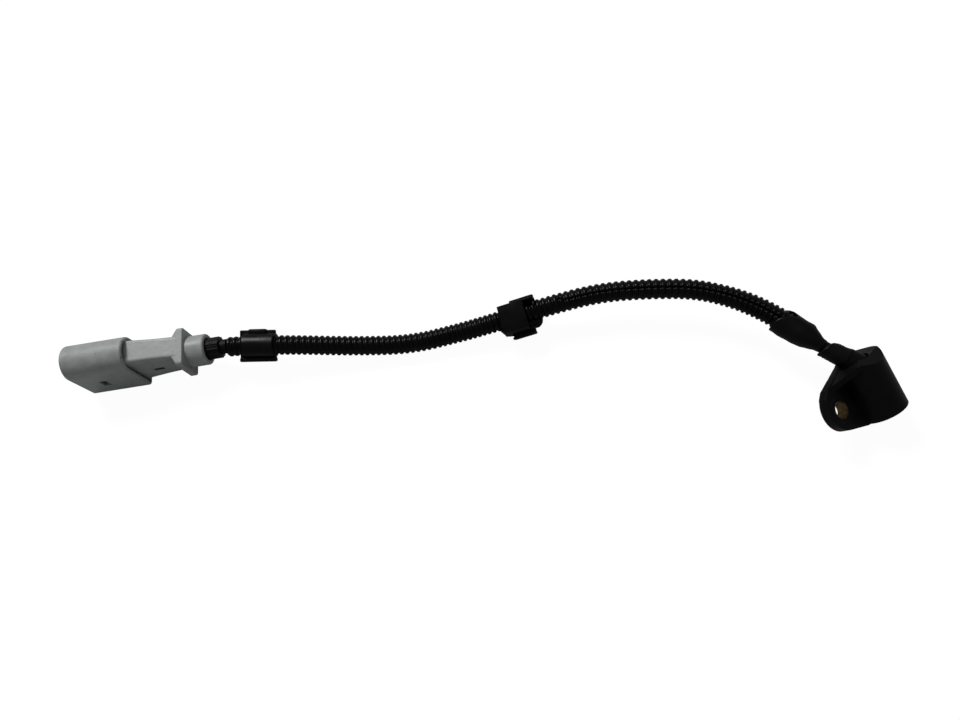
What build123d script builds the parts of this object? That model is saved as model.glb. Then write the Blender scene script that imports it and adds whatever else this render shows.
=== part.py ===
import os
from math import cos, radians, sin, tan

from build123d import *

os.makedirs("parts", exist_ok=True)

# Camshaft position sensor lying on a table, in mm. +Z is up from the table, +X runs along the plug
# from its mouth to its wires, and the origin is on the table under the middle of the sensor head.

# Lead: a jacketed three-core cable in a split conduit. The route starts inside the plug.
CABLE_R = 2.4
CONDUIT_R = 4.0
CONDUIT_BORE_R = 2.8
CORE_R = 0.55
ROUTE = [
    (-246.8, 56.30, 11.2),
    (-233.5, 56.30, 11.2),
    (-208.3, 52.98, 10.2),
    (-183.7, 49.85, 5.9),
    (-160.7, 47.15, 4.2),
    (-139.7, 48.79, 4.8),
    (-127.2, 49.36, 7.4),
    (-104.3, 51.34, 11.1),
    (-84.8, 52.76, 12.9),
    (-65.7, 50.58, 14.3),
    (-44.7, 46.18, 15.5),
    (-25.2, 34.20, 16.5),
    (-9.2, 14.84, 16.6),
    (3.6, 5.60, 15.2),
]
ARC_SHARE = 0.45

# Along the lead, from its end inside the head
GROMMET_IN = 1.5
GROMMET_OUT = 15.2
SLEEVE_TAIL = 16.4
SLEEVE_NECK = 22.0
SLEEVE_MOUTH = 35.0
CONDUIT_HEAD_END = 24.5
SLEEVE_R = 4.9
SLEEVE_TAIL_R = 2.8
GROMMET_R = 3.3
GROMMET_BEAD_R = 3.7
GROMMET_BEAD = 1.8

# Along the lead, from its end inside the plug
CONDUIT_PLUG_END = 13.6

# Clips, each on one straight run of the lead and rolled round it, so that its face looks a bit aside
CLIP_ROLL = 20.0
CLIP_1_RUN = 1
CLIP_1_START = -6.8
CLIP_1_LENGTH = 13.8
CLIP_1_BAND_R = 5.0
CLIP_1_NEAR = 7.2
CLIP_1_FAR = 6.0
CLIP_1_PLATE = 1.6
CLIP_1_RAIL_WIDTH = 1.8
CLIP_1_RAIL_HEIGHT = 3.4
CLIP_1_HUMP_WIDTH = 2.4
CLIP_1_HUMP_HEIGHT = 3.2
CLIP_1_HUMP_LENGTH = 5.2
CLIP_1_HOLE_R = 0.8
CLIP_1_SPAN = (14.0, 41.0)
CLIP_2_RUN = 6
CLIP_2_START = -7.4
CLIP_2_LENGTH = 14.7
CLIP_2_COVER = 10.4
CLIP_2_HALF = 5.6
CLIP_2_FACE = 5.2
CLIP_2_SHOULDER = 5.6
CLIP_2_SILL = 7.4
CLIP_2_SILL_TOP = 2.3
CLIP_2_SILL_FOOT = -4.6
CLIP_2_CORNER = 2.2
CLIP_2_LIP = 8.8
CLIP_2_LIP_START = -4.8
CLIP_2_LIP_END = 4.6
CLIP_2_LIP_TOP = 2.0
CLIP_2_FOOT = 5.9
CLIP_2_WALL = 1.0
CLIP_2_SPAN = (0.4, 0.65)

# Plug: x from its mouth to its wires, y and z from its axis
PLUG_AT = (-295.3, 56.30, 11.2)
HOOD_LENGTH = 24.8
HOOD_HALF = 7.15
HOOD_FOOT = 11.2
HOOD_SPRING = 6.8
HOOD_CORNER = 1.5
HOOD_WALL = 1.5
HOOD_DEPTH = 18.0
HOOD_FRONT_EDGE = 0.6
HOOD_REAR_EDGE = 0.9
HOOD_RIM = 1.2
HOOD_RECESS = 3.0
WINDOW_X = 10.3
WINDOW_Z = -1.4
WINDOW_LENGTH = 3.0
WINDOW_HEIGHT = 5.0
BLOCK_END = 43.9
GUSSET = 1.9
GUSSET_RISE = 1.0
BLOCK_WIDTH = 9.9
BLOCK_TOP = 10.7
BLOCK_FOOT = 9.7
BLOCK_END_WIDTH = 9.0
BLOCK_END_TOP = 7.6
BLOCK_END_FOOT = 6.7
BLOCK_CORNER = 1.0
SLOT_X = 33.0
SLOT_Z = -1.2
SLOT_LENGTH = 4.4
SLOT_HEIGHT = 2.0
FLANGE_END = 46.4
FLANGE_WIDTH = 16.0
FLANGE_HEIGHT = 14.6
FLANGE_CORNER = 1.4
FLANGE_EDGE = 0.4
PLUG_LENGTH = 54.0
BARREL_R = 6.3
BARREL_BORE_R = 4.8
BARREL_FLOOR = 44.0
BARREL_EDGE = 0.8

# Plug's pins, lock, seal and boot
PIN_PITCH = 5.5
PIN_MIDDLE = 1.2
PIN_COUNT = 3
PIN_TIP = 9.5
PIN_SHOULDER = 17.0
PIN_CRIMP = 31.0
PIN_END = 36.0
BLADE_WIDTH = 2.8
BLADE_THICK = 0.8
PIN_WIDTH = 3.0
PIN_THICK = 1.8
CRIMP_WIDTH = 1.9
CORE_PITCH_CABLE = 1.6
CORE_PITCH_SEAL = 2.9
LOCK_THICK = 2.4
LOCK_FIT = 0.2
FINGER_WIDTH = 3.2
FINGER_THICK = 1.2
FINGER_Y = -2.5
FINGER_END = 1.2
SEAL_START = 44.2
SEAL_END = 46.2
CORE_TURN_R = 1.6
BOOT_START = 49.6
BOOT_R = 4.4
BOOT_END = 59.2
BOOT_NECK_R = 2.9
BOOT_NECK_END = 61.8
BOOT_RIBS = 12
BOOT_RIB_R = 0.5

# Sensor head: x from the ear to the body, y to the cable end, z out of the bush to its face
HEAD_AT = (-9.26, -7.94, 15.45)
HEAD_TURN = (23.0, 20.0, 33.5)
HEAD_BACK = -3.3
BODY_LEFT = 8.2
BODY_X = 16.6
BODY_SPRING = 2.0
BODY_NOSE = -11.6
BODY_NOSE_R = 8.3
BODY_NOSE_EDGE = 0.8
BODY_END = 10.7
BODY_END_R = 9.05
EAR_X = 2.0
EAR_R = 8.4
BUSH_R = 4.9
BUSH_BORE_R = 3.1
BUSH_FRONT = 0.2
BUSH_BACK = -4.2
SHOULDER_AT = (13.0, 11.6)
SHOULDER_TURN = 14.0
WEB_LEFT = -0.2
WEB_TOP = 8.0
WEB_THICK = 2.2
SLOPE_AT = (15.9, 8.2, 10.6)
SLOPE_NORMAL = (0.02, 0.79, 0.61)
COLLAR_R = 4.4
COLLAR_LENGTH = 7.2
TROUGH_R = 5.2
TROUGH_LENGTH = 14.0

# Inside the head, in the same directions
POCKET_X = 17.0
POCKET_LEFT = 12.6
POCKET_RIGHT = 22.0
POCKET_NOSE = -10.9
POCKET_END = 8.6
POCKET_FLOOR = 1.0
POCKET_ROOF = 6.2
CARRIER_NOSE = -10.7
CARRIER_STEP = -9.0
CARRIER_END = 1.0
CARRIER_WIDTH = 8.4
CARRIER_TOP = 4.2
CHIP_WIDTH = 4.8
CHIP_HEIGHT = 2.0
CHIP_EDGE = 0.3
MAGNET_WIDTH = 5.0
MAGNET_LENGTH = 4.0
MAGNET_HEIGHT = 2.2
MAGNET_Y = -6.2
STRIP_PITCH = 1.9
STRIP_WIDTH = 1.2
STRIP_THICK = 0.5
STRIP_END = 2.6
CORE_BEND = 1.0
CORE_LEAD_IN = 1.0
CORE_CORNER_Y = 3.0
CORE_TIP_Y = 0.6


def finish(build, name):
    build.part.label = name
    export_step(build.part, f"parts/{name}.step")


# Planes of the head, the plug and the clips

HEAD = Location(HEAD_AT, HEAD_TURN, Extrinsic.XYZ)


def head_plane(z=0.0):
    return Plane(HEAD * Location((0, 0, z)))


def head_section(y):
    # Sketch x is the head's x, sketch y is its z, and the normal points to the nose
    return Plane(HEAD * Location((0, y, 0), (90, 0, 0)))


def head_facing(point, normal):
    # A plane through a point of the head, whose normal is given in the head's own directions
    return Plane(origin=head_point(*point), z_dir=head_point(*normal) - head_point(0, 0, 0))


def head_point(x, y, z):
    return (HEAD * Location((x, y, z))).position


def plug_section(x):
    # Sketch x is across the plug, sketch y is up, and the normal points to the wires
    return Plane(origin=Vector(*PLUG_AT) + Vector(x, 0, 0), x_dir=(0, 1, 0), z_dir=(1, 0, 0))


def plug_profile(y=0.0):
    # Sketch x runs from the mouth to the wires, and sketch y is up
    return Plane(origin=Vector(*PLUG_AT) + Vector(0, y, 0), x_dir=(1, 0, 0), z_dir=(0, -1, 0))


def clip_section(run, along):
    # Sketch x is across the lead, sketch y is out of the clip's face, and the normal follows the lead
    start = Vector(*ROUTE[run])
    end = Vector(*ROUTE[run + 1])
    forward = (end - start).normalized()
    side = Vector(0, 0, 1).cross(forward).normalized()
    up = forward.cross(side)
    across = side * cos(radians(CLIP_ROLL)) + up * sin(radians(CLIP_ROLL))
    return Plane(origin=(start + end) * 0.5 + forward * along, x_dir=across, z_dir=forward)


def clip_face(run, along):
    # Sketch x follows the lead, sketch y is across it, and the normal is out of the clip's face
    section = clip_section(run, along)
    return Plane(origin=section.origin, x_dir=section.z_dir, z_dir=section.y_dir)


# Blocks along the directions of the head and of the plug, from one end of each span to the other

def head_block(x, y, z, mode=Mode.ADD):
    with BuildSketch(head_plane(z[0])) as section:
        with Locations(((x[0] + x[1]) / 2, (y[0] + y[1]) / 2)):
            Rectangle(x[1] - x[0], y[1] - y[0])
    extrude(section.sketch, amount=z[1] - z[0], mode=mode)


def plug_block(x, y, z, mode=Mode.ADD):
    with BuildSketch(plug_section(x[0])) as section:
        with Locations(((y[0] + y[1]) / 2, (z[0] + z[1]) / 2)):
            Rectangle(y[1] - y[0], z[1] - z[0])
    extrude(section.sketch, amount=x[1] - x[0], mode=mode)


def about(middle, width):
    return (middle - width / 2, middle + width / 2)


# Path of the lead

CABLE_START = ROUTE[0][0] - PLUG_AT[0]


def route_radii():
    radii = []
    for before, corner, after in zip(ROUTE, ROUTE[1:], ROUTE[2:]):
        first = Vector(*corner) - Vector(*before)
        second = Vector(*after) - Vector(*corner)
        half_turn = radians(first.get_angle(second)) / 2
        radii.append(ARC_SHARE * min(first.length, second.length) / tan(half_turn))
    return radii


with BuildLine() as lead_line:
    FilletPolyline(*ROUTE, radius=route_radii())
LEAD = lead_line.wire()


def from_plug(length):
    return length / LEAD.length


def from_head(length):
    return 1 - length / LEAD.length


def lead_tube(start, end, radius, mode=Mode.ADD):
    path = LEAD.trim(start, end)
    with BuildSketch(Plane(path.location_at(0))) as section:
        Circle(radius)
    sweep(section.sketch, path=path, mode=mode)


def lead_cone(start, start_radius, end, end_radius):
    with BuildSketch(Plane(LEAD.location_at(start))) as wide:
        Circle(start_radius)
    with BuildSketch(Plane(LEAD.location_at(end))) as narrow:
        Circle(end_radius)
    loft([wide.sketch, narrow.sketch])


def core_through(points, radius):
    with BuildLine() as line:
        FilletPolyline(*points, radius=radius)
    with BuildSketch(Plane(line.wire().location_at(0))) as section:
        Circle(CORE_R)
    sweep(section.sketch, path=line.wire())


# Lead: cable, conduit, the sleeve that closes it, and the soft grommet into the head

with BuildPart() as lead_cable:
    lead_tube(0, 1, CABLE_R)
finish(lead_cable, "lead_cable")

with BuildPart() as conduit:
    lead_tube(from_plug(CONDUIT_PLUG_END), from_head(CONDUIT_HEAD_END), CONDUIT_R)
    lead_tube(from_plug(CONDUIT_PLUG_END), from_head(CONDUIT_HEAD_END), CONDUIT_BORE_R, Mode.SUBTRACT)
finish(conduit, "conduit")

with BuildPart() as conduit_sleeve:
    lead_tube(from_head(SLEEVE_MOUTH), from_head(SLEEVE_NECK), SLEEVE_R)
    lead_cone(from_head(SLEEVE_NECK), SLEEVE_R, from_head(SLEEVE_TAIL), SLEEVE_TAIL_R)
    fillet(conduit_sleeve.faces().sort_by(Axis.X)[0].edges(), radius=0.8)
    lead_tube(from_head(SLEEVE_MOUTH), from_head(CONDUIT_HEAD_END), CONDUIT_R, Mode.SUBTRACT)
    lead_tube(from_head(CONDUIT_HEAD_END), from_head(SLEEVE_TAIL), CABLE_R, Mode.SUBTRACT)
finish(conduit_sleeve, "conduit_sleeve")

with BuildPart() as cable_grommet:
    lead_tube(from_head(GROMMET_OUT), from_head(GROMMET_IN), GROMMET_R)
    lead_cone(
        from_head(GROMMET_OUT),
        GROMMET_R,
        from_head(GROMMET_OUT - GROMMET_BEAD / 3),
        GROMMET_BEAD_R,
    )
    lead_tube(from_head(GROMMET_OUT - GROMMET_BEAD / 3), from_head(GROMMET_OUT - GROMMET_BEAD), GROMMET_BEAD_R)
    lead_tube(from_head(GROMMET_OUT), from_head(GROMMET_IN), CABLE_R, Mode.SUBTRACT)
finish(cable_grommet, "cable_grommet")

# Clip beside the plug: a band round the conduit, with a flat wing on each side

with BuildPart() as lead_clip_1:
    with BuildSketch(clip_section(CLIP_1_RUN, CLIP_1_START)):
        Circle(CLIP_1_BAND_R)
        with Locations(((CLIP_1_FAR - CLIP_1_NEAR) / 2, 0)):
            RectangleRounded(CLIP_1_FAR + CLIP_1_NEAR, CLIP_1_PLATE, CLIP_1_PLATE / 3)
        with Locations((-CLIP_1_NEAR + CLIP_1_RAIL_WIDTH / 2, 0)):
            RectangleRounded(CLIP_1_RAIL_WIDTH, CLIP_1_RAIL_HEIGHT, CLIP_1_RAIL_WIDTH / 3)
    extrude(amount=CLIP_1_LENGTH)
    with BuildSketch(clip_section(CLIP_1_RUN, -CLIP_1_HUMP_LENGTH / 2)):
        with Locations((CLIP_1_FAR - CLIP_1_HUMP_WIDTH / 2, 0.4)):
            RectangleRounded(CLIP_1_HUMP_WIDTH, CLIP_1_HUMP_HEIGHT, CLIP_1_HUMP_WIDTH / 3)
    extrude(amount=CLIP_1_HUMP_LENGTH)
    with BuildSketch(clip_face(CLIP_1_RUN, 0)):
        with Locations((0, CLIP_1_HUMP_WIDTH / 2 - CLIP_1_FAR)):
            Circle(CLIP_1_HOLE_R)
    extrude(amount=CLIP_1_HUMP_HEIGHT, both=True, mode=Mode.SUBTRACT)
    lead_tube(from_plug(CLIP_1_SPAN[0]), from_plug(CLIP_1_SPAN[1]), CONDUIT_R, Mode.SUBTRACT)
finish(lead_clip_1, "lead_clip_1")

# Clip halfway: a cradle with a short cover, and below it a lip that clamps a sheet edge


def lip_block(start, end, outer, inner):
    # A wall of the clamp, from its outer to its inner side
    with BuildSketch(clip_section(CLIP_2_RUN, start)) as section:
        with Locations((-(outer + inner) / 2, (CLIP_2_LIP_TOP - CLIP_2_FOOT) / 2)):
            Rectangle(outer - inner, CLIP_2_LIP_TOP + CLIP_2_FOOT)
    extrude(section.sketch, amount=end - start)


with BuildPart() as lead_clip_2:
    with BuildSketch(clip_section(CLIP_2_RUN, CLIP_2_START)):
        with BuildLine():
            Polyline(
                (CLIP_2_HALF, -CLIP_2_HALF),
                (CLIP_2_HALF, CLIP_2_FACE),
                (-CLIP_2_SHOULDER, CLIP_2_FACE),
                (-CLIP_2_SILL, CLIP_2_SILL_TOP),
                (-CLIP_2_SILL, CLIP_2_SILL_FOOT),
                (CLIP_2_SILL_FOOT, -CLIP_2_HALF),
                close=True,
            )
        make_face()
    extrude(amount=CLIP_2_LENGTH)
    with BuildSketch(clip_section(CLIP_2_RUN, CLIP_2_START + CLIP_2_COVER)):
        with Locations((-CLIP_2_WALL, CLIP_2_FACE)):
            Rectangle(2 * CLIP_2_HALF, 2 * CLIP_2_FACE)
    extrude(amount=CLIP_2_LENGTH, mode=Mode.SUBTRACT)
    with BuildSketch(clip_face(CLIP_2_RUN, CLIP_2_START)):
        with BuildLine():
            Polyline(
                (0, -CLIP_2_HALF),
                (CLIP_2_CORNER, -CLIP_2_HALF),
                (0, CLIP_2_CORNER - CLIP_2_HALF),
                close=True,
            )
        make_face()
    extrude(amount=2 * CLIP_2_HALF, both=True, mode=Mode.SUBTRACT)
    lip_block(CLIP_2_LIP_START, CLIP_2_LIP_END, CLIP_2_LIP, CLIP_2_LIP - CLIP_2_WALL)
    lip_block(CLIP_2_LIP_END - CLIP_2_WALL, CLIP_2_LIP_END, CLIP_2_LIP, CLIP_2_SILL - CLIP_2_WALL)
    lead_tube(*CLIP_2_SPAN, CONDUIT_R, Mode.SUBTRACT)
finish(lead_clip_2, "lead_clip_2")

# Plug housing: hood, block, flange and barrel, one moulding


def hood_outline(inset, corner):
    half = HOOD_HALF - inset
    foot = HOOD_FOOT - inset
    with BuildLine() as outline:
        Line((half, HOOD_SPRING), (half, corner - foot))
        RadiusArc((half, corner - foot), (half - corner, -foot), corner)
        Line((half - corner, -foot), (corner - half, -foot))
        RadiusArc((corner - half, -foot), (-half, corner - foot), corner)
        Line((-half, corner - foot), (-half, HOOD_SPRING))
        ThreePointArc((-half, HOOD_SPRING), (0, HOOD_SPRING + half), (half, HOOD_SPRING))
    make_face(outline.edges())


def block_outline(width, top, foot):
    with Locations((0, (top - foot) / 2)):
        RectangleRounded(width, top + foot, BLOCK_CORNER)


def flange_outline():
    with Locations((0, BLOCK_END_TOP - FLANGE_HEIGHT / 2)):
        RectangleRounded(FLANGE_WIDTH, FLANGE_HEIGHT, FLANGE_CORNER)


def pin_height(pin):
    return PIN_MIDDLE + (pin - 1) * PIN_PITCH


with BuildPart() as plug_housing:
    with BuildSketch(plug_section(0)):
        hood_outline(0, HOOD_CORNER)
    extrude(amount=HOOD_LENGTH)
    fillet(plug_housing.faces().sort_by(Axis.X)[0].edges(), radius=HOOD_FRONT_EDGE)
    fillet(plug_housing.faces().sort_by(Axis.X)[-1].edges(), radius=HOOD_REAR_EDGE)
    with BuildSketch(plug_section(HOOD_LENGTH - HOOD_RECESS)):
        hood_outline(HOOD_RIM, HOOD_CORNER / 2)
        with Locations((0, (BLOCK_TOP - HOOD_FOOT) / 2)):
            Rectangle(BLOCK_WIDTH, BLOCK_TOP + HOOD_FOOT, mode=Mode.SUBTRACT)
    extrude(amount=HOOD_RECESS, mode=Mode.SUBTRACT)
    with BuildSketch(plug_section(HOOD_LENGTH - HOOD_RECESS)):
        block_outline(BLOCK_WIDTH, BLOCK_TOP, BLOCK_FOOT)
    with BuildSketch(plug_section(BLOCK_END)):
        block_outline(BLOCK_END_WIDTH, BLOCK_END_TOP, BLOCK_END_FOOT)
    loft()
    with BuildSketch(plug_section(BLOCK_END - GUSSET)):
        block_outline(BLOCK_END_WIDTH, BLOCK_END_TOP, BLOCK_END_FOOT - GUSSET_RISE)
    with BuildSketch(plug_section(BLOCK_END)):
        flange_outline()
    loft()
    with BuildSketch(plug_section(BLOCK_END)):
        flange_outline()
    extrude(amount=FLANGE_END - BLOCK_END)
    fillet(plug_housing.faces().sort_by(Axis.X)[-1].edges(), radius=FLANGE_EDGE)
    with BuildSketch(plug_section(FLANGE_END)):
        Circle(BARREL_R)
    extrude(amount=PLUG_LENGTH - FLANGE_END)
    fillet(plug_housing.faces().sort_by(Axis.X)[-1].edges(), radius=BARREL_EDGE)
    with BuildSketch(plug_section(0)):
        hood_outline(HOOD_WALL, HOOD_CORNER / 2)
    extrude(amount=HOOD_DEPTH, mode=Mode.SUBTRACT)
    with BuildSketch(plug_section(BARREL_FLOOR)):
        Circle(BARREL_BORE_R)
    extrude(amount=PLUG_LENGTH - BARREL_FLOOR, mode=Mode.SUBTRACT)
    for pin in range(PIN_COUNT):
        plug_block(
            (HOOD_DEPTH, PIN_CRIMP),
            about(0, PIN_THICK),
            about(pin_height(pin), PIN_WIDTH),
            Mode.SUBTRACT,
        )
    with BuildSketch(plug_profile()):
        with BuildLine():
            Polyline(
                (PIN_CRIMP, PIN_MIDDLE + PIN_PITCH + PIN_WIDTH / 2),
                (PIN_END, PIN_MIDDLE + PIN_PITCH + PIN_WIDTH / 3),
                (BARREL_FLOOR, BARREL_BORE_R - CORE_R),
                (BARREL_FLOOR, CORE_R - BARREL_BORE_R),
                (PIN_END, PIN_MIDDLE - PIN_PITCH - PIN_WIDTH / 3),
                (PIN_CRIMP, PIN_MIDDLE - PIN_PITCH - PIN_WIDTH / 2),
                close=True,
            )
        make_face()
    extrude(amount=PIN_THICK / 2, both=True, mode=Mode.SUBTRACT)
    plug_block(
        (HOOD_DEPTH, SLOT_X + FINGER_END),
        about(FINGER_Y, FINGER_THICK),
        about(SLOT_Z, FINGER_WIDTH),
        Mode.SUBTRACT,
    )
    plug_block(about(SLOT_X, SLOT_LENGTH), (-HOOD_HALF, FINGER_Y), about(SLOT_Z, SLOT_HEIGHT), Mode.SUBTRACT)
    plug_block(
        about(WINDOW_X, WINDOW_LENGTH),
        (-HOOD_HALF - 1, -HOOD_HALF + HOOD_WALL + 1),
        about(WINDOW_Z, WINDOW_HEIGHT),
        Mode.SUBTRACT,
    )
finish(plug_housing, "plug_housing")

# Plug's inside: lock plate, pins, cores and seal

with BuildPart() as terminal_lock:
    with BuildSketch(plug_section(HOOD_DEPTH - LOCK_THICK)):
        hood_outline(HOOD_WALL + LOCK_FIT, HOOD_CORNER / 2)
    extrude(amount=LOCK_THICK)
    plug_block(
        (HOOD_DEPTH, SLOT_X + FINGER_END - LOCK_FIT),
        about(FINGER_Y, FINGER_THICK),
        about(SLOT_Z, FINGER_WIDTH),
    )
    for pin in range(PIN_COUNT):
        plug_block(
            (HOOD_DEPTH - LOCK_THICK, HOOD_DEPTH),
            about(0, PIN_THICK),
            about(pin_height(pin), PIN_WIDTH),
            Mode.SUBTRACT,
        )
finish(terminal_lock, "terminal_lock")

for pin in range(PIN_COUNT):
    height = pin_height(pin)
    with BuildPart() as blade_pin:
        plug_block((PIN_TIP, PIN_SHOULDER), about(0, BLADE_THICK), about(height, BLADE_WIDTH))
        chamfer(blade_pin.edges().group_by(Axis.X)[0], length=BLADE_THICK / 3)
        plug_block((PIN_SHOULDER, PIN_CRIMP), about(0, PIN_THICK), about(height, PIN_WIDTH))
        plug_block((PIN_CRIMP, PIN_END), about(0, PIN_THICK), about(height, CRIMP_WIDTH))
        with BuildSketch(plug_section(PIN_CRIMP + 1)):
            with Locations((0, height)):
                Circle(CORE_R)
        extrude(amount=PIN_END - PIN_CRIMP, mode=Mode.SUBTRACT)
    finish(blade_pin, f"blade_pin_{pin + 1}")

for core in range(PIN_COUNT):
    step = core - 1
    height = pin_height(core)
    stations = [
        (PIN_CRIMP + 1, height),
        (PIN_END + 0.4, height),
        (SEAL_START - 0.4, step * CORE_PITCH_SEAL),
        (SEAL_END + 0.4, step * CORE_PITCH_SEAL),
    ]
    if step != 0:
        stations.append((CABLE_START - 0.3, step * CORE_PITCH_CABLE))
    with BuildPart() as plug_core:
        core_through([Vector(*PLUG_AT) + Vector(x, 0, z) for x, z in stations], CORE_TURN_R)
        if step == 0:
            with BuildSketch(plug_section(SEAL_END + 0.4)):
                Circle(CORE_R)
            extrude(amount=CABLE_START - SEAL_END - 0.4)
    finish(plug_core, f"core_{core + 1}")

with BuildPart() as wire_seal:
    with BuildSketch(plug_section(SEAL_START)):
        Circle(BARREL_BORE_R)
        with Locations(*[(0, step * CORE_PITCH_SEAL) for step in (-1, 0, 1)]):
            Circle(CORE_R, mode=Mode.SUBTRACT)
    extrude(amount=SEAL_END - SEAL_START)
finish(wire_seal, "wire_seal")

# Boot: a plug in the barrel, a ribbed cap behind it, and a neck that the conduit pushes over

with BuildPart() as seal_boot:
    with BuildSketch(plug_section(PLUG_LENGTH)):
        Circle(BOOT_R - BOOT_RIB_R / 2)
        with PolarLocations(BOOT_R - BOOT_RIB_R, BOOT_RIBS):
            Circle(BOOT_RIB_R)
    extrude(amount=BOOT_END - PLUG_LENGTH)
    with BuildSketch(plug_section(BOOT_START)):
        Circle(BARREL_BORE_R)
    extrude(amount=PLUG_LENGTH - BOOT_START)
    with BuildSketch(plug_section(BOOT_END)):
        Circle(BOOT_NECK_R)
    extrude(amount=BOOT_NECK_END - BOOT_END)
    lead_tube(0, from_plug(CONDUIT_PLUG_END + 1), CABLE_R, Mode.SUBTRACT)
finish(seal_boot, "seal_boot")

# Sensor housing: a half-round body and a flat ear, one moulding round the bush and the chip


def shoulder_section():
    # Sketch x runs along the shoulder from the ear to the body, sketch y is the head's z, and the
    # normal points into the head
    corner = Location((*SHOULDER_AT, 0), (0, 0, SHOULDER_TURN))
    return Plane(HEAD * corner * Location((-SHOULDER_AT[0], 0, 0), (90, 0, 0)))


def body_outline(radius):
    # Flat back, straight sides to the spring line, and a half-round front
    left = BODY_LEFT
    right = BODY_LEFT + 2 * radius
    with BuildLine() as outline:
        Polyline((right, BODY_SPRING), (right, HEAD_BACK), (left, HEAD_BACK), (left, BODY_SPRING))
        ThreePointArc((left, BODY_SPRING), (left + radius, BODY_SPRING + radius), (right, BODY_SPRING))
    make_face(outline.edges())


HEAD_LONG = Axis(head_point(0, 0, 0), head_point(0, 1, 0) - head_point(0, 0, 0))
HEAD_OUT = Axis(head_point(0, 0, 0), head_point(0, 0, 1) - head_point(0, 0, 0))

with BuildPart() as sensor_housing:
    with BuildSketch(head_section(BODY_END)):
        body_outline(BODY_END_R)
    with BuildSketch(head_section(BODY_NOSE)):
        body_outline(BODY_NOSE_R)
    loft()
    nose = sensor_housing.faces().sort_by(HEAD_LONG)[0]
    fillet(nose.edges().sort_by(HEAD_OUT)[1:], radius=BODY_NOSE_EDGE)
    with BuildSketch(head_plane(HEAD_BACK)):
        with Locations((EAR_X, 0)):
            Circle(EAR_R)
        with BuildLine():
            Polyline(SHOULDER_AT, (BODY_X, BODY_NOSE), (BODY_LEFT, BODY_NOSE), close=True)
        make_hull()
    extrude(amount=-HEAD_BACK)
    with BuildSketch(shoulder_section()):
        with BuildLine():
            Polyline(
                (WEB_LEFT, HEAD_BACK),
                (WEB_LEFT, -1.0),
                (WEB_LEFT + WEB_TOP + 1.0, WEB_TOP),
                (BODY_X, WEB_TOP),
                (BODY_X, HEAD_BACK),
                close=True,
            )
        make_face()
    extrude(amount=WEB_THICK)
    split(bisect_by=shoulder_section(), keep=Keep.TOP)
    split(bisect_by=head_facing(SLOPE_AT, SLOPE_NORMAL), keep=Keep.BOTTOM)
    lead_tube(from_head(TROUGH_LENGTH), 1, TROUGH_R, Mode.SUBTRACT)
    lead_tube(from_head(COLLAR_LENGTH), 1, COLLAR_R)
    with BuildSketch(head_plane(HEAD_BACK - 1)):
        Circle(BUSH_R)
    extrude(amount=2 - HEAD_BACK, mode=Mode.SUBTRACT)
    head_block((POCKET_LEFT, POCKET_RIGHT), (POCKET_NOSE, POCKET_END), (POCKET_FLOOR, POCKET_ROOF), Mode.SUBTRACT)
    lead_tube(from_head(GROMMET_OUT), from_head(GROMMET_IN), GROMMET_R, Mode.SUBTRACT)
    lead_tube(from_head(GROMMET_IN), 1, CABLE_R, Mode.SUBTRACT)
finish(sensor_housing, "sensor_housing")

with BuildPart() as mounting_bush:
    with BuildSketch(head_plane(BUSH_BACK)):
        Circle(BUSH_R)
        Circle(BUSH_BORE_R, mode=Mode.SUBTRACT)
    extrude(amount=BUSH_FRONT - BUSH_BACK)
finish(mounting_bush, "mounting_bush")

# Inside the head: carrier, chip, magnet, lead-frame strips and the cable's cores

with BuildPart() as chip_carrier:
    head_block(about(POCKET_X, CARRIER_WIDTH), (CARRIER_NOSE, CARRIER_END), (POCKET_FLOOR, CARRIER_TOP))
    head_block(
        about(POCKET_X, CHIP_WIDTH),
        (CARRIER_NOSE, CARRIER_STEP),
        (POCKET_FLOOR, CARRIER_TOP),
        Mode.SUBTRACT,
    )
    head_block(
        about(POCKET_X, MAGNET_WIDTH),
        about(MAGNET_Y, MAGNET_LENGTH),
        (CARRIER_TOP - MAGNET_HEIGHT, CARRIER_TOP),
        Mode.SUBTRACT,
    )
finish(chip_carrier, "chip_carrier")

with BuildPart() as hall_chip:
    head_block(
        about(POCKET_X, CHIP_WIDTH),
        (CARRIER_NOSE, CARRIER_STEP),
        (CARRIER_TOP - CHIP_HEIGHT, CARRIER_TOP),
    )
    chamfer(hall_chip.edges().group_by(HEAD_LONG)[0], CHIP_EDGE)
finish(hall_chip, "hall_chip")

with BuildPart() as bias_magnet:
    head_block(
        about(POCKET_X, MAGNET_WIDTH),
        about(MAGNET_Y, MAGNET_LENGTH),
        (CARRIER_TOP - MAGNET_HEIGHT, CARRIER_TOP),
    )
finish(bias_magnet, "bias_magnet")

for strip in range(PIN_COUNT):
    across = POCKET_X + (strip - 1) * STRIP_PITCH
    with BuildPart() as head_terminal:
        head_block(about(across, STRIP_WIDTH), (CARRIER_STEP, STRIP_END), (CARRIER_TOP, CARRIER_TOP + STRIP_THICK))
    finish(head_terminal, f"head_terminal_{strip + 1}")

cable_end = LEAD.position_at(1)
inward = LEAD.tangent_at(1)
aside = head_point(1, 0, 0) - head_point(0, 0, 0)
aside = (aside - inward * aside.dot(inward)).normalized() * CORE_PITCH_CABLE
core_height = CARRIER_TOP + STRIP_THICK + CORE_R
for core in range(PIN_COUNT):
    step = core - 1
    across = POCKET_X + step * STRIP_PITCH
    start = cable_end + aside * step
    stations = [
        start,
        start + inward * CORE_LEAD_IN,
        head_point(across, CORE_CORNER_Y, core_height),
        head_point(across, CORE_TIP_Y, core_height),
    ]
    with BuildPart() as head_core:
        core_through(stations, CORE_BEND)
    finish(head_core, f"head_core_{core + 1}")

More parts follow.
